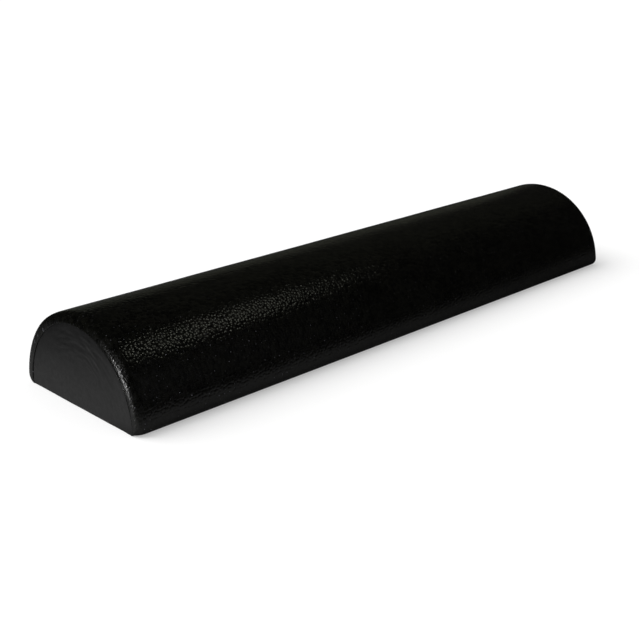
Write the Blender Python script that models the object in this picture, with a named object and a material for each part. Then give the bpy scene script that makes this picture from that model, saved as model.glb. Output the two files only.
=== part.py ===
"""Half round foam roller: a foam half cylinder in a grained skin, with inlaid end panels and a base sheet.

Metres, +Z up. X runs along the roller, the base lies on Z = 0, and the origin is the middle of the base.
"""

import math

import bmesh
import bpy

# Overall size: the arch is a true half round, so its radius is also the roller's height
LENGTH = 0.600
ARCH_RADIUS = 0.075

# Rounding of the two long base edges, of the arched rim at each end, and of the end face's base corners
EDGE_RADIUS = 0.007
RIM_RADIUS = 0.004
END_CORNER_RADIUS = 0.004

# Grained cover: sheet thickness, flat return lip on each end face, flat return flange under the base
COVER_THICKNESS = 0.0012
LIP_WIDTH = 0.004
FLANGE_WIDTH = 0.014

# End panels and base sheet: thickness, base corners of a panel, softened cut edges
PANEL_THICKNESS = 0.0010
PANEL_CORNER_RADIUS = 0.002
BASE_SHEET_THICKNESS = 0.0012
CUT_EDGE_RADIUS = 0.0003

# Clearances: the glue line between skin and foam, and the open groove round each inlaid sheet
GLUE_LINE = 0.0003
GROOVE = 0.0008

# How far a cutting shape runs past what it cuts
OVERRUN = 0.003

# Facets on the arch, on a base corner and across a rolled rim
ARCH_STEPS = 60
CORNER_STEPS = 6
RIM_STEPS = 6
CUT_EDGE_STEPS = 2
SHARP_ANGLE = math.radians(35)

# Where the parts of the skin meet, worked out from the sizes above
CORE_INSET = COVER_THICKNESS + GLUE_LINE
LIP_RADIUS = ARCH_RADIUS - RIM_RADIUS - LIP_WIDTH
CORE_END = LENGTH / 2 - CORE_INSET
PANEL_BACK = CORE_END + GLUE_LINE

# Colour as linear RGB, then roughness: none of the skins is metal
GRAINED_SKIN = ((0.012, 0.012, 0.011), 0.38)
SMOOTH_SKIN = ((0.020, 0.020, 0.020), 0.46)
BLACK_FOAM = ((0.016, 0.016, 0.016), 0.85)
BASE_SKIN = ((0.014, 0.014, 0.014), 0.55)


def clear_scene():
    """Remove every object, so that the roller is alone."""
    for thing in list(bpy.data.objects):
        bpy.data.objects.remove(thing, do_unlink=True)


def make_material(name, finish):
    """A plain surface of this finish: its colour and roughness."""
    colour, roughness = finish
    material = bpy.data.materials.new(name)
    material.use_nodes = True
    shader = material.node_tree.nodes["Principled BSDF"]
    shader.inputs["Base Color"].default_value = (*colour, 1.0)
    shader.inputs["Roughness"].default_value = roughness
    shader.inputs["Metallic"].default_value = 0.0
    material.diffuse_color = (*colour, 1.0)
    return material


def arc(centre, radius, start, end, steps):
    """Points (y, z) on an arc from one angle to another, both ends included."""
    turns = [start + (end - start) * step / steps for step in range(steps + 1)]
    return [(centre[0] + radius * math.cos(turn), centre[1] + radius * math.sin(turn)) for turn in turns]


def base_corner_centre(radius, base, corner_radius):
    """Centre (y, z) of the round that touches both the arch and the flat base at this height."""
    height = base + corner_radius
    return math.sqrt((radius - corner_radius) ** 2 - height**2), height


def half_round(radius, base, corner_radius):
    """Outline (y, z) of a half round, cut flat at the height of its base, with rounded base corners."""
    centre = base_corner_centre(radius, base, corner_radius)
    meeting = math.atan2(centre[1], centre[0])
    right = arc(centre, corner_radius, -math.pi / 2, meeting, CORNER_STEPS)
    arch = arc((0.0, 0.0), radius, meeting, math.pi - meeting, ARCH_STEPS)
    left = [(-y, z) for y, z in reversed(right)]
    return right + arch[1:-1] + left


def rectangle(half_width, bottom, top):
    """Outline (y, z) of a rectangle across the roller's middle."""
    return [(half_width, bottom), (half_width, top), (-half_width, top), (-half_width, bottom)]


def loft(name, sections):
    """A closed solid through sections, each a place along X and an outline with the same count of points."""
    shape = bmesh.new()
    rings = [[shape.verts.new((x, y, z)) for y, z in outline] for x, outline in sections]
    for near, far in zip(rings, rings[1:]):
        for i in range(len(near)):
            shape.faces.new((near[i - 1], near[i], far[i], far[i - 1]))
    shape.faces.new(rings[0])
    shape.faces.new(rings[-1])
    bmesh.ops.recalc_face_normals(shape, faces=shape.faces)
    mesh = bpy.data.meshes.new(name)
    shape.to_mesh(mesh)
    shape.free()
    mesh.shade_smooth()
    mesh.set_sharp_from_angle(angle=SHARP_ANGLE)
    return mesh


def rolled_block(name, inset):
    """The roller's whole form, this far inside its outer surface, with the rim of each end rolled inwards."""
    rim_radius = RIM_RADIUS - inset
    rear_end = []
    for step in range(RIM_STEPS + 1):
        turn = math.pi / 2 * step / RIM_STEPS
        rolled_share = 1 - math.cos(turn)
        corner_radius = EDGE_RADIUS + (END_CORNER_RADIUS - EDGE_RADIUS) * rolled_share - inset
        outline = half_round(ARCH_RADIUS - inset - rim_radius * rolled_share, inset, corner_radius)
        rear_end.append((LENGTH / 2 - inset - rim_radius * (1 - math.sin(turn)), outline))
    front_end = [(-x, outline) for x, outline in reversed(rear_end)]
    return loft(name, front_end + rear_end)


def add_part(name, mesh, material, parent):
    """An object of the roller, carried by its parent."""
    part = bpy.data.objects.new(name, mesh)
    if not mesh.materials:
        mesh.materials.append(material)
    part.parent = parent
    bpy.context.scene.collection.objects.link(part)
    return part


def cut_away(part, mesh):
    """Cut a shape out of a part, with the shape kept as a hidden guide."""
    cutter = bpy.data.objects.new("cut_" + mesh.name, mesh)
    cutter.parent = part.parent
    cutter.display_type = "WIRE"
    cutter.hide_render = True
    bpy.context.scene.collection.objects.link(cutter)
    boolean = part.modifiers.new(mesh.name, "BOOLEAN")
    boolean.operation = "DIFFERENCE"
    boolean.solver = "EXACT"
    boolean.object = cutter


def soften_cut_edges(part):
    """Round the cut edges of a thin sheet a little."""
    bevel = part.modifiers.new("softened_edges", "BEVEL")
    bevel.width = CUT_EDGE_RADIUS
    bevel.segments = CUT_EDGE_STEPS
    bevel.limit_method = "ANGLE"
    bevel.angle_limit = SHARP_ANGLE
    bevel.use_clamp_overlap = True


def flange_half_width():
    """Half the gap between the two return flanges under the base."""
    return base_corner_centre(ARCH_RADIUS, 0.0, EDGE_RADIUS)[0] - FLANGE_WIDTH


def make_foam_core(parent):
    """The closed-cell foam body that fills the skin."""
    mesh = rolled_block("foam_core", CORE_INSET)
    return add_part("foam_core", mesh, make_material("black_foam", BLACK_FOAM), parent)


def make_grained_cover(parent):
    """The skin over the arch, rolled round the end rims into lips and round the base edges into flanges."""
    mesh = rolled_block("grained_cover", 0.0)
    cover = add_part("grained_cover", mesh, make_material("grained_skin", GRAINED_SKIN), parent)
    cut_away(cover, rolled_block("foam_space", COVER_THICKNESS))
    opening = rectangle(flange_half_width(), -OVERRUN, COVER_THICKNESS + OVERRUN)
    past_end = LENGTH / 2 + OVERRUN
    cut_away(cover, loft("base_opening", [(-past_end, opening), (past_end, opening)]))
    doorway = half_round(LIP_RADIUS, -OVERRUN, PANEL_CORNER_RADIUS)
    for name, side in (("front_opening", -1), ("rear_opening", 1)):
        cut_away(cover, loft(name, [(side * CORE_END, doorway), (side * past_end, doorway)]))
    return cover


def make_end_panel_mesh():
    """One smooth half-disc, with its glued face on the plane X = 0 and its outer face towards +X."""
    outline = half_round(LIP_RADIUS - GROOVE, 0.0, PANEL_CORNER_RADIUS)
    return loft("end_panel", [(0.0, outline), (PANEL_THICKNESS, outline)])


def make_end_panels(parent):
    """The panels inlaid in the lips of the two ends: both share one mesh, and the front one is turned round."""
    mesh = make_end_panel_mesh()
    material = make_material("smooth_skin", SMOOTH_SKIN)
    panels = []
    for name, side, turn in (("end_panel_front", -1, math.pi), ("end_panel_rear", 1, 0.0)):
        panel = add_part(name, mesh, material, parent)
        panel.location = (side * PANEL_BACK, 0.0, 0.0)
        panel.rotation_euler = (0.0, 0.0, turn)
        soften_cut_edges(panel)
        panels.append(panel)
    return panels


def make_base_sheet(parent):
    """The flat sheet under the foam, between the two flanges and the two end panels."""
    outline = rectangle(flange_half_width() - GROOVE, -BASE_SHEET_THICKNESS, 0.0)
    mesh = loft("base_sheet", [(-CORE_END, outline), (CORE_END, outline)])
    sheet = add_part("base_sheet", mesh, make_material("base_skin", BASE_SKIN), parent)
    sheet.location = (0.0, 0.0, COVER_THICKNESS)
    soften_cut_edges(sheet)
    return sheet


def make_roller():
    """The whole roller, carried by one empty at the middle of its base."""
    clear_scene()
    roller = bpy.data.objects.new("half_round_roller", None)
    bpy.context.scene.collection.objects.link(roller)
    make_foam_core(roller)
    make_grained_cover(roller)
    make_end_panels(roller)
    make_base_sheet(roller)


if __name__ == "__main__":
    make_roller()
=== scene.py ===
"""Looks, light and camera of the half round foam roller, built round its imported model.

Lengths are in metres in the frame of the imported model: X along the roller, Z up, the base on Z = 0.
"""

import logging
import math
from collections.abc import Iterable, Mapping, Sequence
from dataclasses import dataclass, replace
from enum import Enum
from itertools import repeat
from typing import Any

import bmesh
import bpy
import numpy as np
from mathutils import Matrix, Vector, noise


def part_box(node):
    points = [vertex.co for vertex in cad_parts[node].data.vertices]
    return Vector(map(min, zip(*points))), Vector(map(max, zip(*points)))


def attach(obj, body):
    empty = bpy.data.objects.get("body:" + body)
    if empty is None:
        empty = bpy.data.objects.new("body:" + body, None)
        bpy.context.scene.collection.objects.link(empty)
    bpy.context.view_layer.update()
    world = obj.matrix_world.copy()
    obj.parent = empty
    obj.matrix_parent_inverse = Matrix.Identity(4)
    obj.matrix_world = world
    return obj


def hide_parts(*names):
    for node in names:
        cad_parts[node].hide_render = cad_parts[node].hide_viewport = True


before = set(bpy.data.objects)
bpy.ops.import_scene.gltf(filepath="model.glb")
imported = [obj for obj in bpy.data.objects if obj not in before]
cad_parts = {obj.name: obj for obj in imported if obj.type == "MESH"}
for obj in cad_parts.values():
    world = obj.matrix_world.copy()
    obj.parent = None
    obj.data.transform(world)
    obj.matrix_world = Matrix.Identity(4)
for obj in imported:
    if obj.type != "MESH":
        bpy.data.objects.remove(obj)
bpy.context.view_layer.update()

MM = 0.001
BODY = "root"
SHEET_MAP = "sheet"
SHARP_ANGLE = math.radians(50)
WELD = 0.002 * MM
GROOVE = 0.8 * MM
# The panels reach this far into the groove, which in the real one is narrower than in the solids
PANEL_GROWTH = 0.28 * MM
# Nearly all values of a noise lie in this range
NOISE_RANGE = (0.3, 0.7)
# Too small to change anything but a division by zero or a step past the last row
HAIR = 1e-12
WHITE = "#FFFFFF"
# Settings that several nodes share
PLUS = {"operation": "ADD"}
TIMES = {"operation": "MULTIPLY"}
EASED = {"interpolation_type": "SMOOTHSTEP"}
COLOURS = {"data_type": "RGBA"}
FLAT_NOISE = {"noise_dimensions": "2D"}
FLAT_CELLS = {"voronoi_dimensions": "2D"}
# What may feed an input: an output, or a node for its first output in use
Feed = bpy.types.NodeSocket | bpy.types.Node
Values = Mapping[str | int, Any]
Links = Mapping[str | int, Feed]
log = logging.getLogger("half_round_roller")


class End(Enum):
    """The two ends of the roller, each by its side of the frame's X."""

    FRONT = -1
    REAR = 1

    @property
    def node(self) -> str:
        """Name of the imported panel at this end."""
        return f"end_panel_{self.name.lower()}"


def linear(colour: str) -> tuple[float, float, float, float]:
    """Turn a colour written as sRGB hex into linear RGBA.

    Args:
        colour: Six hex digits after a hash.

    Returns:
        Linear red, green, blue, and an alpha of one.
    """
    channels = [int(colour[i : i + 2], 16) / 255 for i in (1, 3, 5)]
    bright = [c / 12.92 if c <= 0.04045 else ((c + 0.055) / 1.055) ** 2.4 for c in channels]
    return (bright[0], bright[1], bright[2], 1.0)


def smooth(values: np.ndarray, start: float, end: float) -> np.ndarray:
    """Rise smoothly from zero at the start to one at the end."""
    share = np.clip((values - start) / (end - start), 0.0, 1.0)
    return share * share * (3 - 2 * share)


@dataclass(frozen=True)
class Ramp:
    """A value that goes from first to last while what it follows goes from start to end."""

    start: float
    end: float
    first: float = 0.0
    last: float = 1.0

    def inputs(self) -> dict[str, float]:
        """The ramp as inputs of a Map Range node."""
        return {"From Min": self.start, "From Max": self.end, "To Min": self.first, "To Max": self.last}


def port(sockets: Iterable[bpy.types.NodeSocket], key: str | int = 0) -> bpy.types.NodeSocket:
    """The socket of this name or number among those that a node's settings put to use."""
    used = [socket for socket in sockets if socket.enabled]
    return used[key] if isinstance(key, int) else next(socket for socket in used if socket.name == key)


def plug(node: bpy.types.Node, values: Values, links: Links) -> None:
    """Set a node's inputs, each by its name or number.

    Args:
        node: Node in a tree.
        values: Input values.
        links: What feeds inputs.
    """
    for key, value in values.items():
        port(node.inputs, key).default_value = value
    for key, feed in links.items():
        output = port(feed.outputs) if isinstance(feed, bpy.types.Node) else feed
        node.id_data.links.new(output, port(node.inputs, key))


def add_node(
    tree: bpy.types.NodeTree,
    kind: str,
    settings: Mapping[str, Any] | None = None,
    values: Values | None = None,
    links: Links | None = None,
) -> bpy.types.Node:
    """Add one node with its settings, input values and links.

    Args:
        tree: Node tree that gets the node.
        kind: Kind of shader node.
        settings: Properties of the node, by name.
        values: Input values, by input name or number.
        links: What feeds inputs, by input name or number.

    Returns:
        The new node.
    """
    node = tree.nodes.new(f"ShaderNode{kind}")
    for name, value in (settings or {}).items():
        setattr(node, name, value)
    plug(node, values or {}, links or {})
    return node


def new_material(name: str) -> tuple[bpy.types.Material, bpy.types.NodeTree, bpy.types.Node]:
    """Start a material with a bare Principled shader.

    Args:
        name: Name of the material.

    Returns:
        The material, its node tree and its Principled node.
    """
    material = bpy.data.materials.new(name)
    material.use_nodes = True
    tree = material.node_tree
    return material, tree, tree.nodes["Principled BSDF"]


@dataclass(frozen=True)
class EmbossedVinyl:
    """Black PVC film embossed with a pebble grain by a heated roll, then bonded to foam.

    To the eye: shallow round pebbles that each catch one small glint, dark valleys between them,
    a satin that varies in patches, specks of dust, and a faint film of dust.
    """

    name: str = "embossed_vinyl"
    colour: str = "#020201"
    worn_colour: str = "#0A0A07"
    roughness: Ramp = Ramp(*NOISE_RANGE, 0.14, 0.20)
    ior: float = 1.50
    patch_size: float = 38 * MM
    pebble_pitch: float = 2.6 * MM
    pebble_height: float = 0.072 * MM
    pebble_randomness: float = 0.90
    # Each pebble took its own amount of gloss ink and rubbing
    pebble_dulling: Ramp = Ramp(0.0, 1.0, -0.05, 0.07)
    pebble_shade: Ramp = Ramp(0.0, 1.0, -0.55, 0.55)
    # The pebbles are pressed flat on the lips, and pulled shallower low on the sides
    pressed: Ramp = Ramp(0.5 * MM, 4 * MM, 0.3, 1.0)
    pulled: Ramp = Ramp(34 * MM, 78 * MM, 0.6, 1.0)
    # Stretching over the rims dulls the film
    stretched: Ramp = Ramp(9 * MM, 17 * MM, 0.10, 0.0)
    # Real pores are closer and shallower; these are as coarse as they need to be to show
    pore_pitch: float = 0.7 * MM
    pore_height: float = 0.004 * MM
    # Real dust is finer; each speck stands for a few motes, and is large enough to show
    dust_colour: str = "#7E7E86"
    dust_spacing: float = 5 * MM
    dust_radii: tuple[float, float] = (0.10 * MM, 0.38 * MM)
    dust_weight: Ramp = Ramp(0.42, 0.0)
    # Handling has smeared the finest dust round the roller
    dust_film: Ramp = Ramp(0.48, 0.78, 0.0, 0.022)
    smudge_size: float = 2.6 * MM
    smudge_stretch: float = 2.8
    # Dust stays on the sides and rubs off the crown, and most of it lies towards the front end
    dusty_sides: Ramp = Ramp(70 * MM, 110 * MM, 1.0, 0.15)
    dusty_end: Ramp = Ramp(0.0, 260 * MM, 1.0, 0.2)
    # Length and width of the flat sheet, which are measured once it is made
    sheet_length: float = 0.6
    sheet_width: float = 0.3

    def material(self) -> bpy.types.Material:
        """Build the node material on the sheet's own flat coordinates, which are in metres.

        Returns:
            The material.
        """
        material, tree, shader = new_material(self.name)
        flat = add_node(tree, "UVMap", {"uv_map": SHEET_MAP})
        place = add_node(tree, "SeparateXYZ", links={"Vector": flat}).outputs
        from_end, from_side = (
            add_node(tree, "Math", {"operation": "PINGPONG"}, {1: size / 2}, {0: place[axis]})
            for axis, size in (("X", self.sheet_length), ("Y", self.sheet_width))
        )
        pitch = {"Scale": 1 / self.pebble_pitch, "Randomness": self.pebble_randomness}
        pebbles = add_node(tree, "TexVoronoi", FLAT_CELLS, pitch, {"Vector": flat})
        squared = add_node(tree, "Math", TIMES, links={0: pebbles, 1: pebbles})
        domes = add_node(tree, "Math", {"operation": "SUBTRACT"}, {0: 1.0}, {1: squared})
        pressed = add_node(tree, "MapRange", EASED, self.pressed.inputs(), {"Value": from_end})
        pulled = add_node(tree, "MapRange", EASED, self.pulled.inputs(), {"Value": from_side})
        depth = add_node(tree, "Math", TIMES, links={0: pressed, 1: pulled})
        # A dome falls by a quarter of its distance scale on the way to the valley, half a pitch away
        grain = add_node(
            tree, "Bump", {}, {"Distance": self.pebble_height * 4}, {"Height": domes, "Strength": depth}
        )
        pitch = {"Scale": 1 / self.pore_pitch, "Detail": 2.0}
        pores = add_node(tree, "TexNoise", FLAT_NOISE, pitch, {"Vector": flat})
        rise = {"Distance": self.pore_height}
        fine = add_node(tree, "Bump", {}, rise, {"Height": pores, "Normal": grain})
        broad = {"Scale": 1 / self.patch_size, "Detail": 4.0, "Roughness": 0.6}
        patches = add_node(tree, "TexNoise", FLAT_NOISE, broad, {"Vector": flat})
        own = add_node(tree, "SeparateColor", links={"Color": pebbles.outputs["Color"]}).outputs
        own_shade = add_node(tree, "MapRange", {}, self.pebble_shade.inputs(), {"Value": own["Green"]})
        rubbed = add_node(tree, "Math", PLUS, links={0: patches, 1: own_shade})
        colours = {"A": linear(self.colour), "B": linear(self.worn_colour)}
        colour = add_node(tree, "Mix", COLOURS, colours, {"Factor": rubbed})
        satin = add_node(tree, "MapRange", {}, self.roughness.inputs(), {"Value": patches})
        dulled = add_node(tree, "MapRange", EASED, self.stretched.inputs(), {"Value": from_end})
        dullness = add_node(tree, "Math", PLUS, links={0: satin, 1: dulled})
        own_dulling = add_node(tree, "MapRange", {}, self.pebble_dulling.inputs(), {"Value": own["Blue"]})
        own_dullness = add_node(tree, "Math", PLUS, links={0: dullness, 1: own_dulling})
        near = add_node(tree, "MapRange", {}, self.dusty_end.inputs(), {"Value": place["X"]})
        low = add_node(tree, "MapRange", EASED, self.dusty_sides.inputs(), {"Value": from_side})
        settled = add_node(tree, "Math", TIMES, links={0: near, 1: low})
        dust = add_node(tree, "Math", TIMES, links={0: self.dust(tree, flat), 1: settled})
        colours = {"B": linear(self.dust_colour)}
        dusted = add_node(tree, "Mix", COLOURS, colours, {"Factor": dust, "A": colour})
        plug(shader, {"IOR": self.ior}, {"Base Color": dusted, "Roughness": own_dullness, "Normal": fine})
        return material

    def dust(self, tree: bpy.types.NodeTree, flat: Feed) -> bpy.types.Node:
        """Scatter specks of dust, and lay a film of the finest dust between them.

        Args:
            tree: Node tree of the material.
            flat: The sheet's flat coordinates.

        Returns:
            How much dust hides the vinyl under it.
        """
        motes = add_node(tree, "TexVoronoi", FLAT_CELLS, {"Scale": 1 / self.dust_spacing}, {"Vector": flat})
        draw = add_node(tree, "SeparateColor", links={"Color": motes.outputs["Color"]}).outputs
        radii = Ramp(0.0, 1.0, *(radius / self.dust_spacing for radius in self.dust_radii))
        radius = add_node(tree, "MapRange", {}, radii.inputs(), {"Value": draw["Green"]})
        speck = add_node(tree, "Math", {"operation": "LESS_THAN"}, links={0: motes, 1: radius})
        weight = add_node(tree, "MapRange", {}, self.dust_weight.inputs(), {"Value": draw["Red"]})
        stretch = {1: (1.0, self.smudge_stretch, 1.0)}
        smeared = add_node(tree, "VectorMath", {"operation": "DIVIDE"}, stretch, {0: flat})
        uneven = {"Scale": 1 / self.smudge_size, "Detail": 3.0, "Roughness": 0.7}
        smudges = add_node(tree, "TexNoise", FLAT_NOISE, uneven, {"Vector": smeared})
        film = add_node(tree, "MapRange", {}, self.dust_film.inputs(), {"Value": smudges})
        return add_node(tree, "Math", {"operation": "MULTIPLY_ADD"}, links={0: speck, 1: weight, 2: film})


@dataclass(frozen=True)
class SmoothVinyl:
    """Black PVC film, calendered smooth and bonded flat.

    To the eye: an even satin face, faintly mottled where the film follows the cut foam under it.
    """

    name: str = "smooth_vinyl"
    colour: str = "#080808"
    worn_colour: str = "#101010"
    roughness: Ramp = Ramp(*NOISE_RANGE, 0.34, 0.46)
    ior: float = 1.50
    mottle_size: float = 5 * MM
    mottle_height: float = 0.04 * MM
    # The real stipple is finer; this one is as coarse as it needs to be to show
    stipple_pitch: float = 0.8 * MM
    stipple_height: float = 0.004 * MM

    def material(self) -> bpy.types.Material:
        """Build the node material on the sheet's own flat coordinates, which are in metres.

        Returns:
            The material.
        """
        material, tree, shader = new_material(self.name)
        flat = add_node(tree, "UVMap", {"uv_map": SHEET_MAP})
        uneven = {"Scale": 1 / self.mottle_size, "Detail": 3.0, "Distortion": 0.8}
        mottle = add_node(tree, "TexNoise", FLAT_NOISE, uneven, {"Vector": flat})
        dents = add_node(tree, "Bump", {}, {"Distance": self.mottle_height}, {"Height": mottle})
        pitch = {"Scale": 1 / self.stipple_pitch, "Detail": 1.0}
        stipple = add_node(tree, "TexNoise", FLAT_NOISE, pitch, {"Vector": flat})
        rise = {"Distance": self.stipple_height}
        fine = add_node(tree, "Bump", {}, rise, {"Height": stipple, "Normal": dents})
        satin = add_node(tree, "MapRange", {}, self.roughness.inputs(), {"Value": mottle})
        colours = {"A": linear(self.colour), "B": linear(self.worn_colour)}
        colour = add_node(tree, "Mix", COLOURS, colours, {"Factor": mottle})
        plug(shader, {"IOR": self.ior}, {"Base Color": colour, "Roughness": satin, "Normal": fine})
        return material


@dataclass(frozen=True)
class ClosedCellFoam:
    """Black closed-cell foam, cut with a hot wire.

    To the eye: dead matt, with the small pits of opened cells. It shows only in the open grooves.
    """

    name: str = "closed_cell_foam"
    colour: str = "#0C0C0C"
    # Painted shade: the pits of the opened cells are coloured darker than the foam
    pit_shade_colour: str = "#040404"
    roughness: float = 0.9
    ior: float = 1.45
    cell_pitch: float = 0.9 * MM
    cell_depth: float = 0.15 * MM

    def material(self) -> bpy.types.Material:
        """Build the node material on the block's own position.

        Returns:
            The material.
        """
        material, tree, shader = new_material(self.name)
        place = add_node(tree, "TexCoord").outputs["Object"]
        cells = add_node(tree, "TexVoronoi", {}, {"Scale": 1 / self.cell_pitch}, {"Vector": place})
        pits = add_node(tree, "Bump", {}, {"Distance": self.cell_depth}, {"Height": cells})
        # The pits are painted darker, as painted shade in the opened cells
        colours = {"A": linear(self.pit_shade_colour), "B": linear(self.colour)}
        colour = add_node(tree, "Mix", COLOURS, colours, {"Factor": cells})
        plug(shader, {"Roughness": self.roughness, "IOR": self.ior}, {"Base Color": colour, "Normal": pits})
        return material


@dataclass(frozen=True)
class Swell:
    """One scale of unevenness in a bonded sheet: its wavelengths, its height and its seed."""

    along: float
    across: float
    height: float
    seed: float

    def at(self, flat: np.ndarray) -> np.ndarray:
        """Height of the swell at each point, given by its flat coordinates."""
        raised = [noise.noise((u / self.along, v / self.across, self.seed)) for u, v in flat.reshape(-1, 2)]
        return np.array(raised).reshape(flat.shape[:-1]) * self.height


@dataclass(frozen=True)
class HalfRound:
    """A half round cross-section, cut flat at its base, with rounded base corners."""

    radius: float
    base: float
    corner_radius: float

    def corner_centre(self) -> tuple[float, float]:
        """Centre (y, z) of the round at the right-hand base corner."""
        height = self.base + self.corner_radius
        return math.sqrt((self.radius - self.corner_radius) ** 2 - height**2), height

    def outline(self, arch_steps: int, corner_steps: int) -> np.ndarray:
        """Trace the arch and both corners, without the flat base.

        Args:
            arch_steps: Steps along the arch.
            corner_steps: Steps round each base corner.

        Returns:
            Points (y, z) from the base corner on +Y over the arch to the one on -Y.
        """
        centre = self.corner_centre()
        meeting = math.atan2(centre[1], centre[0])
        turn = np.linspace(-math.pi / 2, meeting, corner_steps + 1)
        right = np.column_stack([np.cos(turn), np.sin(turn)]) * self.corner_radius + centre
        turn = np.linspace(meeting, math.pi - meeting, arch_steps + 1)[1:-1]
        arch = np.column_stack([np.cos(turn), np.sin(turn)]) * self.radius
        left = right[::-1] * (-1, 1)
        return np.vstack([right, arch, left])


# How far points lie inwards of the arch and back from the end, each by row and point of the outline
Rows = tuple[np.ndarray, np.ndarray]


@dataclass(frozen=True)
class RolledForm:
    """The roller's whole half round form, with the arched rim of each end rolled inwards.

    At the front end the rim is rolled more fully over the near side and the top than at the back.
    """

    half_length: float
    arch_radius: float
    lip_reach: float
    edge_radius: float = 7 * MM
    end_corner_radius: float = 6 * MM
    lip_corner_radius: float = 2 * MM
    least_corner_radius: float = 0.2 * MM
    full_roll: float = 9.0 * MM
    tight_roll: float = 4.0 * MM
    # The full roll eases into the tight one between these two angles, in degrees
    roll_turns: tuple[float, float] = (90.0, 135.0)
    lip_landing: float = 0.8 * MM
    # How far short of its reach the lip is cut, by angle up from the near side in degrees
    lip_cut: tuple[tuple[float, float], ...] = (
        (0, 0.2 * MM),
        (15, 0.6 * MM),
        (28, 1.0 * MM),
        (52, 1.0 * MM),
        (76, -0.18 * MM),
        (130, -0.18 * MM),
        (146, 0.0 * MM),
    )
    arch_steps: int = 108
    corner_steps: int = 7
    levels: int = 33

    def section(self, radius: float, base: float, corner_radius: float) -> np.ndarray:
        """Outline of one half round section; all of them have the same number of points."""
        return HalfRound(radius, base, corner_radius).outline(self.arch_steps, self.corner_steps)

    def turn(self) -> np.ndarray:
        """Angle up from the near side of the base, in degrees, at each point of the outline."""
        outline = self.section(self.arch_radius, 0.0, self.edge_radius)
        return np.degrees(np.arctan2(outline[:, 1], -outline[:, 0]))

    def reach(self) -> np.ndarray:
        """How far the lip reaches inwards of the arch at each point: its cut edge isn't quite even."""
        turns, cuts = zip(*self.lip_cut)
        return self.lip_reach - np.interp(self.turn(), turns, cuts)

    def roll_radius(self, end: End) -> np.ndarray:
        """Radius of the rolled rim at this end, at each point of the outline."""
        fullness = (1 - smooth(self.turn(), *self.roll_turns)) * (end is End.FRONT)
        return self.tight_roll + (self.full_roll - self.tight_roll) * fullness

    def place(self, inwards: np.ndarray, inset: float) -> np.ndarray:
        """Place points on sections that lie inwards of the arch.

        Args:
            inwards: How far each point lies inwards of the arch, by row and point of the outline.
            inset: Height of the section's base, which also takes as much off its corner's radius.

        Returns:
            Points (y, z) in the same layout.
        """
        levels = np.linspace(0.0, self.reach().max() + inset, self.levels)
        corner = np.interp(
            levels,
            (0.0, self.tight_roll, self.lip_reach),
            (self.edge_radius, self.end_corner_radius, self.lip_corner_radius),
        )
        corner = np.maximum(corner - inset, self.least_corner_radius)
        radii = self.arch_radius - levels
        outlines = np.array([self.section(*sizes) for sizes in zip(radii, repeat(inset), corner)])
        place = np.clip(inwards / levels[-1] * (self.levels - 1), 0, self.levels - 1 - HAIR)
        level, share = place.astype(int), (place % 1)[:, :, None]
        point = np.arange(inwards.shape[1])
        return outlines[level, point] * (1 - share) + outlines[level + 1, point] * share

    def lean(self, end: End) -> np.ndarray:
        """Angle at which the rolled rim runs out into the lip, at each point of the outline."""
        rolled = (self.reach() - self.lip_landing) / self.roll_radius(end)
        return np.arcsin(np.clip(1 - rolled, 0.0, 1.0))

    def roll(self, end: End, steps: int, inset: float) -> Rows:
        """Follow the rolled rim from the arch to the lip, this far inside the outer surface.

        Args:
            end: End of the roller.
            steps: Steps round the rim.
            inset: How far inside the outer surface.

        Returns:
            Rows from the arch inwards.
        """
        share = (np.arange(steps + 1) / steps)[:, None]
        turn = math.pi / 2 + (self.lean(end)[None, :] - math.pi / 2) * share
        radius = self.roll_radius(end)[None, :]
        inwards = radius * (1 - np.sin(turn)) + inset * np.sin(turn)
        return inwards, radius * (1 - np.cos(turn)) + inset * np.cos(turn)

    def join(self, ends: Mapping[End, Rows], steps: int, inset: float) -> np.ndarray:
        """Join the rows of the two ends by straight rows along the roller.

        Args:
            ends: Rows of each end.
            steps: Steps along the straight part.
            inset: How far inside the outer surface.

        Returns:
            Points of the whole form as rows, columns and (x, y, z).
        """
        (front, front_back), (rear, rear_back) = ends[End.FRONT], ends[End.REAR]
        front_x, rear_x = front_back - self.half_length, self.half_length - rear_back
        along = (np.arange(1, steps) / steps)[:, None]
        straight = front_x[0] + (rear_x[0] - front_x[0]) * along
        inwards = np.vstack([front[::-1], np.full_like(straight, inset), rear])
        return np.dstack([np.vstack([front_x[::-1], straight, rear_x]), self.place(inwards, inset)])


def grid_normals(points: np.ndarray, outside: np.ndarray) -> np.ndarray:
    """Unit normals of a grid of points.

    Args:
        points: Array of rows, columns and (x, y, z).
        outside: A direction that the normal of the middle point leans to.

    Returns:
        Normals in the same layout.
    """
    normals = np.cross(np.gradient(points, axis=0), np.gradient(points, axis=1))
    normals /= np.maximum(np.linalg.norm(normals, axis=2, keepdims=True), HAIR)
    middle = normals[normals.shape[0] // 2, normals.shape[1] // 2]
    return normals * np.sign(middle @ outside)


def run_length(points: np.ndarray) -> np.ndarray:
    """How far each point of a line lies from its first, along the line."""
    return np.cumsum(np.linalg.norm(np.diff(points, axis=0, prepend=points[:1]), axis=1))


def add_object(name: str, data: bpy.types.ID) -> bpy.types.Object:
    """Put a mesh, a lamp or a camera in the scene.

    Args:
        name: Name of the object.
        data: What the object holds.

    Returns:
        The object.
    """
    holder = bpy.data.objects.new(name, data)
    bpy.context.scene.collection.objects.link(holder)
    return holder


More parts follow.
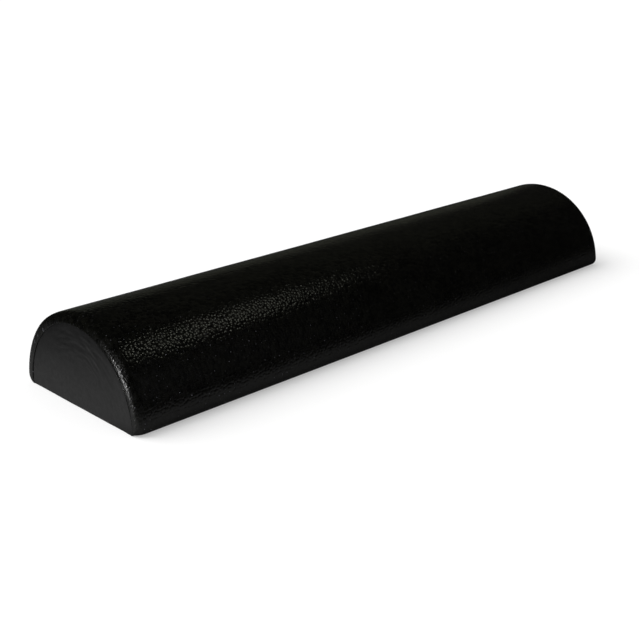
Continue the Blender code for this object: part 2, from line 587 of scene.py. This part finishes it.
def link_mesh(name: str, points: np.ndarray, quads: np.ndarray, flat: np.ndarray) -> bpy.types.Object:
    """Make a smooth mesh object of quads and link it to the scene.

    Args:
        name: Name of the object.
        points: Places of the points; those in one place are welded.
        quads: Four point numbers for each face.
        flat: The sheet's flat coordinates of the points.

    Returns:
        The object, with its flat coordinates as a map.
    """
    mesh = bpy.data.meshes.new(name)
    mesh.from_pydata(points.tolist(), [], quads.tolist())
    sheet_map = mesh.uv_layers.new(name=SHEET_MAP)
    sheet_map.data.foreach_set("uv", flat[quads.ravel()].astype(np.float32).ravel())
    form = bmesh.new()
    form.from_mesh(mesh)
    loose = [point for point in form.verts if not point.link_faces]
    bmesh.ops.delete(form, geom=loose, context="VERTS")
    bmesh.ops.remove_doubles(form, verts=form.verts, dist=WELD)
    form.to_mesh(mesh)
    form.free()
    mesh.shade_smooth()
    mesh.set_sharp_from_angle(angle=SHARP_ANGLE)
    return add_object(name, mesh)


def make_sheet(
    name: str, face: np.ndarray, back: np.ndarray, flat: np.ndarray, kept: np.ndarray | None = None
) -> bpy.types.Object:
    """Close a face and its back, two grids of the same layout, into one sheet with its cut edges.

    Args:
        name: Name of the object.
        face: Points of the face that shows, as rows, columns and (x, y, z).
        back: Points of its back.
        flat: The sheet's flat coordinates, as rows, columns and (u, v).
        kept: Tells for each cell of the grid whether it is part of the sheet.

    Returns:
        The sheet.
    """
    rows, columns = face.shape[:2]
    number = np.arange(rows * columns).reshape(rows, columns)
    cells = np.stack([number[:-1, :-1], number[:-1, 1:], number[1:, 1:], number[1:, :-1]], axis=2)
    front = cells.reshape(-1, 4) if kept is None else cells[kept]
    points = np.vstack([face.reshape(-1, 3), back.reshape(-1, 3)])
    shift = rows * columns
    first, second, _, fourth = front[len(front) // 2]
    side = np.cross(points[second] - points[first], points[fourth] - points[first])
    if side @ (points[first] - points[first + shift]) < 0:
        front = front[:, ::-1]
    edges = np.stack([front, np.roll(front, -1, axis=1)], axis=2).reshape(-1, 2)
    known = {(a, b) for a, b in edges.tolist()}
    border = np.array([(a, b) for a, b in edges.tolist() if (b, a) not in known])
    cut = np.column_stack([border[:, 1], border[:, 0], border[:, 0] + shift, border[:, 1] + shift])
    quads = np.vstack([front, front[:, ::-1] + shift, cut])
    return link_mesh(name, points, quads, np.vstack([flat.reshape(-1, 2)] * 2))


def seat(piece: bpy.types.Object, node: str) -> None:
    """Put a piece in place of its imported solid, on the roller's one body.

    Args:
        piece: Finished piece.
        node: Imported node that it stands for.
    """
    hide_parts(node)
    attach(piece, BODY)
    log.info("%s: %d faces, stands for %s", piece.name, len(piece.data.polygons), node)


@dataclass
class GrainedCover:
    """The pebble-grained skin: arch, rolled end rims with their lips, and flanges under the base."""

    form: RolledForm
    flange_half_gap: float
    flange_end: float
    finish: EmbossedVinyl
    thickness: float = 1.0 * MM
    lip_edge_radius: float = 0.2 * MM
    straight_steps: int = 290
    roll_steps: int = 14
    lip_steps: int = 3
    lip_edge_steps: int = 3
    flange_steps: int = 5
    calm_height: float = 9 * MM
    swells: tuple[Swell, ...] = (
        Swell(70 * MM, 60 * MM, 0.12 * MM, 3.1),
        Swell(24 * MM, 20 * MM, 0.05 * MM, 8.4),
        Swell(9 * MM, 9 * MM, 0.015 * MM, 1.7),
    )

    def end_rows(self, end: End, inset: float) -> Rows:
        """Follow the skin from the arch over the rim to the cut edge of its lip.

        Args:
            end: End of the roller.
            inset: How far inside the outer surface.

        Returns:
            Rows from the arch inwards.
        """
        inwards, back = self.form.roll(end, self.roll_steps, inset)
        flat_reach = self.form.reach() - self.lip_edge_radius
        share = (np.arange(1, self.lip_steps + 1) / self.lip_steps)[:, None]
        lip_inwards = inwards[-1] + (flat_reach - inwards[-1]) * share
        lip_back = back[-1] - (lip_inwards - inwards[-1]) * np.tan(self.form.lean(end))
        turn = (math.pi / 2 * np.arange(1, self.lip_edge_steps + 1) / self.lip_edge_steps)[:, None]
        edge_inwards = flat_reach + self.lip_edge_radius * np.sin(turn)
        rounding = 0.0 if inset else self.lip_edge_radius * (1 - np.cos(turn))
        edge_back = lip_back[-1:] + rounding * np.ones_like(edge_inwards)
        return np.vstack([inwards, lip_inwards, edge_inwards]), np.vstack([back, lip_back, edge_back])

    def layer(self, inset: float) -> np.ndarray:
        """Lay out the skin's surface at this depth in it, as rows, columns and (x, y, z).

        Args:
            inset: How far inside the outer surface.

        Returns:
            Points in that layout.
        """
        ends = {end: self.end_rows(end, inset) for end in End}
        outline = self.form.join(ends, self.straight_steps, inset)
        width = (np.arange(self.flange_steps) / self.flange_steps)[None, :, None]
        sides = []
        for side, edge in ((1, outline[:, :1]), (-1, outline[:, -1:])):
            inner = edge.copy()
            inner[:, :, 1] = side * self.flange_half_gap
            flange = inner + (edge - inner) * width
            sides.append(flange if side > 0 else flange[:, ::-1])
        return np.concatenate([sides[0], outline, sides[1]], axis=1)

    def build(self) -> bpy.types.Object:
        """Make the skin as one sheet, with a slightly uneven face.

        Returns:
            The skin.
        """
        face, back = self.layer(0.0), self.layer(self.thickness)
        middle, crown = face.shape[0] // 2, face.shape[1] // 2
        along, across = run_length(face[:, crown]), run_length(face[middle])
        flat = np.stack(np.meshgrid(along, across, indexing="ij"), axis=2)
        share = smooth(face[:, :, 2], 0.0, self.calm_height)
        share[: self.lip_edge_steps] = 0.0
        share[-self.lip_edge_steps :] = 0.0
        raised = sum(swell.at(flat) for swell in self.swells) * share
        face = face + grid_normals(face, np.array([0.0, 0.0, 1.0])) * raised[:, :, None]
        kept = np.ones((face.shape[0] - 1, face.shape[1] - 1), bool)
        past_end = np.abs(face[:-1, 0, 0] + face[1:, 0, 0]) / 2 > self.flange_end
        kept[past_end, : self.flange_steps] = False
        kept[past_end, -self.flange_steps :] = False
        return make_sheet("grained_cover_skin", face, back, flat, kept)

    def dress(self, piece: bpy.types.Object) -> None:
        """Give the skin its finish, which eases off towards both ends of the sheet.

        Args:
            piece: The skin.
        """
        flat = np.array([point.uv[:] for point in piece.data.uv_layers[SHEET_MAP].data])
        length, width = flat.max(axis=0).tolist()
        finish = replace(self.finish, sheet_length=length, sheet_width=width)
        piece.data.materials.append(finish.material())


@dataclass
class EndPanel:
    """One smooth half-disc, inlaid in the lip at an end."""

    end: End
    back: float
    face: float
    radius: float
    finish: bpy.types.Material
    corner_radius: float = 2 * MM
    edge_radius: float = 0.2 * MM
    border_width: float = 9 * MM
    border_fall: float = 0.22 * MM
    arch_steps: int = 220
    corner_steps: int = 4
    ring_steps: int = 90
    edge_rings: int = 4
    # The creases grow over this band of the radius, and rise and fade between these angles (degrees)
    crease_band: tuple[float, float] = (34 * MM, 46 * MM)
    crease_rise: tuple[float, float] = (40.0, 75.0)
    crease_fade: tuple[float, float] = (110.0, 150.0)
    least_crease: float = 0.25
    swells: tuple[Swell, ...] = (
        Swell(34 * MM, 34 * MM, 0.20 * MM, 5.2),
        Swell(9 * MM, 9 * MM, 0.06 * MM, 2.9),
    )
    creases: Swell = Swell(11 * MM, 2.6 * MM, 0.15 * MM, 6.6)

    def rings(self) -> tuple[np.ndarray, np.ndarray]:
        """How large each ring is as a share of the outline, and how far its face falls back.

        Returns:
            Both, one for each ring from the middle outwards.
        """
        inner = 1 - self.edge_radius / self.radius
        shares = inner * np.arange(self.ring_steps + 1) / self.ring_steps
        turn = math.pi / 2 * np.arange(1, self.edge_rings + 1) / self.edge_rings
        shares = np.concatenate([shares, inner + (1 - inner) * np.sin(turn)])
        from_rim = (1 - shares) * self.radius / self.border_width
        fall = self.border_fall * np.clip(1 - from_rim, 0.0, 1.0) ** 2
        fall[self.ring_steps + 1 :] += self.edge_radius * (1 - np.cos(turn))
        return shares, fall

    def build(self) -> bpy.types.Object:
        """Make the panel ring by ring from the middle of its base.

        Returns:
            The panel.
        """
        section = HalfRound(self.radius, 0.0, self.corner_radius)
        outline = section.outline(self.arch_steps, self.corner_steps)
        shares, fall = self.rings()
        side = self.end.value
        flat = shares[:, None, None] * outline[None]
        raised = sum(swell.at(flat + self.radius * side) for swell in self.swells)
        reach = np.linalg.norm(flat, axis=2)
        turn = np.arctan2(flat[:, :, 1], flat[:, :, 0])
        polar = np.stack([turn * self.radius, reach], axis=2) + self.radius * side
        strength = smooth(reach, *self.crease_band) * smooth(turn, *np.radians(self.crease_rise))
        strength *= 1 - smooth(turn, *np.radians(self.crease_fade))
        raised = raised + self.creases.at(polar) * (self.least_crease + strength)
        calm = 1 - smooth(shares, 1 - self.border_width / self.radius, 1.0)[:, None]
        raised = (raised - raised.max()) * calm
        x = side * (self.face - fall[:, None] + raised)
        face = np.dstack([x, flat])
        face[0] = face[0].mean(axis=0)
        back = face.copy()
        back[:, :, 0] = side * self.back
        return make_sheet(f"{self.end.node}_skin", face, back, flat)

    def dress(self, piece: bpy.types.Object) -> None:
        """Give the panel its finish."""
        piece.data.materials.append(self.finish)


@dataclass
class BaseSheet:
    """The flat sheet under the foam, between the two flanges and the two end panels."""

    half_length: float
    half_width: float
    thickness: float
    finish: bpy.types.Material
    length_steps: int = 160
    width_steps: int = 32
    edge_radius: float = 0.3 * MM
    swells: tuple[Swell, ...] = (Swell(55 * MM, 45 * MM, 0.10 * MM, 7.7),)

    def build(self) -> bpy.types.Object:
        """Make the sheet, softened at its border and slightly uneven over its middle.

        Returns:
            The sheet.
        """
        along = np.linspace(-self.half_length, self.half_length, self.length_steps + 1)
        across = np.linspace(-self.half_width, self.half_width, self.width_steps + 1)
        flat = np.stack(np.meshgrid(along, across, indexing="ij"), axis=2)
        raised = sum(swell.at(flat) for swell in self.swells)
        raised = raised - raised.min()
        raised[[0, -1]] = self.edge_radius
        raised[:, [0, -1]] = self.edge_radius
        face = np.dstack([flat, raised])
        back = np.dstack([flat, np.full_like(raised, self.thickness)])
        return make_sheet("base_sheet_skin", face, back, flat)

    def dress(self, piece: bpy.types.Object) -> None:
        """Give the sheet its finish."""
        piece.data.materials.append(self.finish)


@dataclass
class FoamCore:
    """The foam body inside the skin, seen only in the grooves round the inlaid sheets."""

    form: RolledForm
    inset: float
    finish: ClosedCellFoam
    roll_steps: int = 6
    straight_steps: int = 60
    end_steps: int = 10

    def build(self) -> bpy.types.Object:
        """Make the block as one closed form: rolled rims at both ends, and flat ends and base.

        Returns:
            The block.
        """
        sides = {end: self.form.roll(end, self.roll_steps, self.inset) for end in End}
        rings = self.form.join(sides, self.straight_steps, self.inset)
        middle = np.array([0.0, self.inset + self.form.lip_corner_radius])
        shares = (np.arange(self.end_steps) / self.end_steps)[:, None, None]
        ends = []
        for ring in (rings[:1], rings[-1:]):
            shrunk = np.repeat(ring, self.end_steps, axis=0)
            shrunk[:, :, 1:] = (ring[:, :, 1:] - middle) * shares + middle
            ends.append(shrunk)
        rings = np.concatenate([ends[0], rings, ends[1][::-1]])
        rows, columns = rings.shape[:2]
        number = np.arange(rows * columns).reshape(rows, columns)
        after = np.roll(number, -1, axis=1)
        quads = np.stack([number[:-1], number[1:], after[1:], after[:-1]], axis=2).reshape(-1, 4)
        return link_mesh("foam_core_block", rings.reshape(-1, 3), quads, rings[:, :, 1:].reshape(-1, 2))

    def dress(self, piece: bpy.types.Object) -> None:
        """Give the block its finish."""
        piece.data.materials.append(self.finish.material())


@dataclass(frozen=True)
class Softbox:
    """A flat studio lamp: where it hangs, what it points at, its size, and how bright its face is.

    A face of brightness one is as bright as lit white paper.
    """

    name: str
    place: Vector
    aim: Vector
    along: Vector
    size: tuple[float, float]
    brightness: float
    tint: str = WHITE

    def hang(self) -> None:
        """Add the lamp."""
        lamp = bpy.data.lights.new(self.name, "AREA")
        lamp.shape = "RECTANGLE"
        lamp.size, lamp.size_y = self.size
        lamp.energy = self.brightness * math.pi * math.prod(self.size)
        lamp.color = linear(self.tint)[:3]
        holder = add_object(self.name, lamp)
        back = (self.place - self.aim).normalized()
        across = back.cross(self.along).normalized()
        axes = Matrix((across.cross(back), across, back)).transposed().to_4x4()
        holder.matrix_world = Matrix.Translation(self.place) @ axes
        holder.visible_camera = False


@dataclass(frozen=True)
class Skylight:
    """Soft light from far off, which is even over the whole floor: its direction, spread and strength."""

    towards: Vector = Vector((0.55, -0.75, -1.0))
    spread: float = math.radians(55)
    strength: float = 0.62

    def hang(self) -> None:
        """Add the light. The skins don't mirror it, because the softboxes give them their highlights."""
        lamp = bpy.data.lights.new("skylight", "SUN")
        lamp.energy = self.strength * math.pi * self.towards.length / -self.towards.z
        lamp.angle = self.spread
        holder = add_object("skylight", lamp)
        holder.rotation_euler = self.towards.to_track_quat("-Z", "Y").to_euler()
        holder.visible_glossy = False


@dataclass(frozen=True)
class Viewpoint:
    """The camera: it looks at a point near the roller's middle from the front left, a little above."""

    aim: Vector = Vector((-43.6 * MM, -0.05 * MM, 5.35 * MM))
    azimuth: float = math.radians(-45.03)
    elevation: float = math.radians(20.60)
    roll: float = math.radians(0.59)
    distance: float = 1014.4 * MM
    focal_pixels: float = 1115.1
    frame_pixels: float = 640.0
    sensor_width: float = 36.0

    def place(self) -> None:
        """Add the camera and make it the scene's own."""
        level = math.cos(self.elevation)
        back = Vector(
            (math.sin(self.azimuth) * level, -math.cos(self.azimuth) * level, math.sin(self.elevation))
        )
        right = Vector((math.cos(self.azimuth), math.sin(self.azimuth), 0.0))
        turned = Matrix.Rotation(self.roll, 3, back) @ right
        up = back.cross(turned)
        camera = bpy.data.cameras.new("camera")
        camera.sensor_fit = "HORIZONTAL"
        camera.sensor_width = self.sensor_width
        camera.lens = self.focal_pixels / self.frame_pixels * self.sensor_width
        holder = add_object("camera", camera)
        axes = Matrix((turned, up, back)).transposed().to_4x4()
        holder.matrix_world = Matrix.Translation(self.aim + back * self.distance) @ axes
        bpy.context.scene.camera = holder


@dataclass
class Studio:
    """Plain pale floor, soft light and camera.

    The camera sees the floor and the room as white. The skins' gloss sees the room dimmer, and on the floor
    a painted pattern of light and shade.
    """

    softboxes: Sequence[Softbox]
    skylight: Skylight
    viewpoint: Viewpoint
    floor_size: float = 30.0
    floor_drop: float = 0.2 * MM
    floor_colour: str = "#D0D0D0"
    floor_glow: float = 0.38
    # Painted light and shade on the floor, seen only in the gloss, by how far it lies along an axis from a
    # point under the front end
    gloss_origin: Vector = Vector((-0.30, 0.0, 0.0))
    gloss_axis: Vector = Vector((1.0, -0.5, 0.0))
    gloss_span: Ramp = Ramp(-0.20, 0.70)
    painted_floor_light: tuple[tuple[float, str], ...] = (
        (-0.18, "#242424"),
        (-0.14, "#484848"),
        (-0.11, "#747474"),
        (-0.07, "#929292"),
        (-0.03, "#A0A0A0"),
        (0.01, "#A6A6A6"),
        (0.03, "#808080"),
        (0.06, "#828282"),
        (0.60, "#424242"),
    )
    # The painted light fades with the distance from the roller's axis
    fade: Ramp = Ramp(0.11, 0.45, 1.0, 0.25)
    # A painted shade off the near corner, which draws the low rim as one thin line
    corner: Vector = Vector((-0.43, -0.15, 0.0))
    painted_corner_shade: Ramp = Ramp(0.065, 0.115, 0.1, 1.0)
    # A painted pool of light beyond the rear end, which lights that end as the near floor lights the front
    # one
    rear: Vector = Vector((0.43, 0.0, 0.0))
    painted_rear_light: Ramp = Ramp(0.06, 0.145, 0.32, 0.0)
    # The room's brightness to the camera, in the gloss and to everything else
    backdrop: float = 1.0
    room_in_gloss: float = 0.011
    room_fill: float = 0.45

    def lay_floor(self) -> None:
        """Lay a wide pale floor just under the base."""
        half = self.floor_size / 2
        corners = [(-half, -half, 0.0), (half, -half, 0.0), (half, half, 0.0), (-half, half, 0.0)]
        mesh = bpy.data.meshes.new("floor")
        mesh.from_pydata(corners, [], [(0, 1, 2, 3)])
        mesh.materials.append(self.floor_material())
        floor = add_object("floor", mesh)
        floor.location.z = -self.floor_drop

    def tell_rays(self, tree: bpy.types.NodeTree) -> tuple[Feed, Feed]:
        """Tell rays apart by what they are for.

        Args:
            tree: Node tree of the floor or of the room.

        Returns:
            What is one for a ray of gloss, and what is one for a camera ray or one through glass.
        """
        rays = add_node(tree, "LightPath").outputs
        clear = {0: rays["Is Camera Ray"], 1: rays["Is Transmission Ray"]}
        return rays["Is Glossy Ray"], add_node(tree, "Math", {"operation": "MAXIMUM"}, links=clear)

    def floor_material(self) -> bpy.types.Material:
        """White paper to the camera; in the skins' gloss, a dimmer share of it with painted pools of light
        and shade.

        Returns:
            The material.
        """
        material, tree, shader = new_material("studio_paper")
        tree.nodes.remove(shader)
        glossy, seen = self.tell_rays(tree)
        # Painted light and shade on the floor, seen only in the gloss: a ramp along an axis, faded away
        # from the roller's axis, darkened off the near corner, and a pool of light added beyond the rear
        # end
        place = add_node(tree, "NewGeometry").outputs["Position"]
        out = add_node(tree, "VectorMath", {"operation": "SUBTRACT"}, {1: self.gloss_origin}, {0: place})
        run = add_node(tree, "VectorMath", {"operation": "DOT_PRODUCT"}, {1: self.gloss_axis}, {0: out})
        share = add_node(tree, "MapRange", {}, self.gloss_span.inputs(), {"Value": run})
        lit = add_node(tree, "ValToRGB", links={"Fac": share})
        stops, start, end = lit.color_ramp.elements, self.gloss_span.start, self.gloss_span.end
        for reach, shade in self.painted_floor_light:
            stops.new((reach - start) / (end - start)).color = linear(shade)
        stops.remove(stops[-1])
        stops.remove(stops[0])
        across = add_node(tree, "SeparateXYZ", links={"Vector": place}).outputs["Y"]
        away = add_node(tree, "Math", {"operation": "ABSOLUTE"}, links={0: across})
        off_corner, off_rear = (
            add_node(tree, "VectorMath", {"operation": "DISTANCE"}, {1: spot}, {0: place})
            for spot in (self.corner, self.rear)
        )
        fade = add_node(tree, "MapRange", EASED, self.fade.inputs(), {"Value": away})
        painted_corner_dim = add_node(tree, "MapRange", EASED, self.painted_corner_shade.inputs(), {"Value": off_corner})
        level = add_node(tree, "Math", TIMES, links={0: fade, 1: painted_corner_dim})
        shaded = {"Vector": lit, "Scale": level}
        painted_floor_shade = add_node(tree, "VectorMath", {"operation": "SCALE"}, links=shaded)
        painted_rear_pool = add_node(tree, "MapRange", EASED, self.painted_rear_light.inputs(), {"Value": off_rear})
        in_gloss = add_node(tree, "VectorMath", PLUS, links={0: painted_floor_shade, 1: painted_rear_pool})
        colours = {"A": linear(self.floor_colour)}
        colour = add_node(tree, "Mix", COLOURS, colours, {"Factor": glossy, "B": in_gloss})
        paper = add_node(tree, "BsdfDiffuse", links={"Color": colour})
        glow_level = add_node(tree, "Math", TIMES, {1: self.floor_glow}, {0: seen})
        glow = add_node(tree, "Emission", links={"Strength": glow_level})
        both = add_node(tree, "AddShader", links={0: paper, 1: glow})
        plug(tree.nodes["Material Output"], {}, {"Surface": both})
        return material

    def paint_room(self) -> None:
        """Set the world: white to the camera, dim in the skins' gloss, and a soft fill elsewhere."""
        world = bpy.data.worlds.new("room")
        bpy.context.scene.world = world
        world.use_nodes = True
        tree = world.node_tree
        glossy, seen = self.tell_rays(tree)
        levels = {"A": self.room_fill, "B": self.room_in_gloss}
        unseen = add_node(tree, "Mix", {}, levels, {"Factor": glossy})
        level = add_node(tree, "Mix", {}, {"B": self.backdrop}, {"Factor": seen, "A": unseen})
        plug(tree.nodes["Background"], {"Color": linear(WHITE)}, {"Strength": level})

    def set_up(self) -> None:
        """Lay the floor, hang the lamps, paint the room and place the camera."""
        bpy.context.scene.view_settings.view_transform = "Standard"
        self.lay_floor()
        self.paint_room()
        self.skylight.hang()
        for softbox in self.softboxes:
            softbox.hang()
        self.viewpoint.place()
        log.info("studio: %d softboxes and a skylight", len(self.softboxes))


SubAssembly = GrainedCover | FoamCore | BaseSheet | EndPanel


def roller_parts() -> list[tuple[SubAssembly, str, str]]:
    """Size each sub-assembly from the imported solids.

    Returns:
        Each sub-assembly with the node that it stands for and its material slot.
    """
    cover_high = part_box("grained_cover")[1]
    core_low, core_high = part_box("foam_core")
    sheet_low, sheet_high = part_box("base_sheet")
    panel_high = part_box(End.REAR.node)[1]
    lip_reach = cover_high.z - panel_high.z - GROOVE + PANEL_GROWTH
    form = RolledForm(cover_high.x, cover_high.z, lip_reach)
    smooth_finish = SmoothVinyl().material()
    underside = SmoothVinyl(
        name="underside_vinyl",
        colour="#0A0A0A",
        worn_colour="#141413",
        roughness=Ramp(*NOISE_RANGE, 0.49, 0.61),
        mottle_size=14 * MM,
        stipple_height=0.02 * MM,
    ).material()
    cover = GrainedCover(form, sheet_high.y + GROOVE, core_high.x, EmbossedVinyl())
    sheet = BaseSheet(sheet_high.x, sheet_high.y, sheet_high.z - sheet_low.z, underside)
    parts: list[tuple[SubAssembly, str, str]] = [
        (cover, "grained_cover", "grained_skin"),
        (FoamCore(form, core_low.z, ClosedCellFoam()), "foam_core", "black_foam"),
        (sheet, "base_sheet", "base_skin"),
    ]
    for end in End:
        low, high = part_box(end.node)
        back, face = sorted((abs(low.x), abs(high.x)))
        panel = EndPanel(end, back, face, high.z + PANEL_GROWTH, smooth_finish)
        parts.append((panel, end.node, "smooth_skin"))
    return parts


def studio() -> Studio:
    """Set the light: one small box overhead, two at the left, dim walls and ceiling, and a skylight.

    Returns:
        The studio.
    """
    overhead = Softbox(
        "overhead_box",
        place=Vector((0.33, -0.27, 0.81)),
        aim=Vector((-0.20, -0.05, 0.05)),
        along=Vector((1.0, 0.0, 0.0)),
        size=(0.12, 0.12),
        brightness=2.55,
        tint="#FCFFEC",
    )
    left = Softbox(
        "left_box",
        place=Vector((-1.48, 0.075, 0.14)),
        aim=Vector((-0.30, -0.05, 0.04)),
        along=Vector((0.0, 0.0, 1.0)),
        size=(0.26, 0.13),
        brightness=36.0,
    )
    high = Softbox(
        "high_left_box",
        place=Vector((-1.12, -0.42, 0.83)),
        aim=Vector((-0.20, -0.05, 0.05)),
        along=Vector((0.417, -0.19, 0.889)),
        size=(0.30, 0.14),
        brightness=2.0,
    )
    back = Softbox(
        "back_wall",
        place=Vector((1.05, 1.70, 0.26)),
        aim=Vector((0.0, 0.0, 0.07)),
        along=Vector((0.85, -0.525, 0.0)),
        size=(2.0, 0.4),
        brightness=0.08,
        tint="#F8FFE0",
    )
    front = Softbox(
        "front_wall",
        place=Vector((0.45, -1.35, 0.65)),
        aim=Vector((-0.20, -0.05, 0.04)),
        along=Vector((0.0, 0.0, 1.0)),
        size=(0.9, 1.0),
        brightness=0.032,
    )
    ceiling = Softbox(
        "rear_ceiling",
        place=Vector((1.45, 0.75, 1.25)),
        aim=Vector((0.0, 0.0, 0.07)),
        along=Vector((-0.47, 0.88, 0.0)),
        size=(1.5, 1.0),
        brightness=0.015,
        tint="#F8FFE0",
    )
    return Studio([overhead, left, high, back, ceiling, front], Skylight(), Viewpoint())


def main() -> None:
    """Build and dress each piece of the roller, then set up the studio round it."""
    logging.basicConfig(level=logging.INFO, format="%(name)s: %(message)s")
    for part, node, slot in roller_parts():
        piece = part.build()
        part.dress(piece)
        seat(piece, node)
    studio().set_up()


if __name__ == "__main__":
    main()
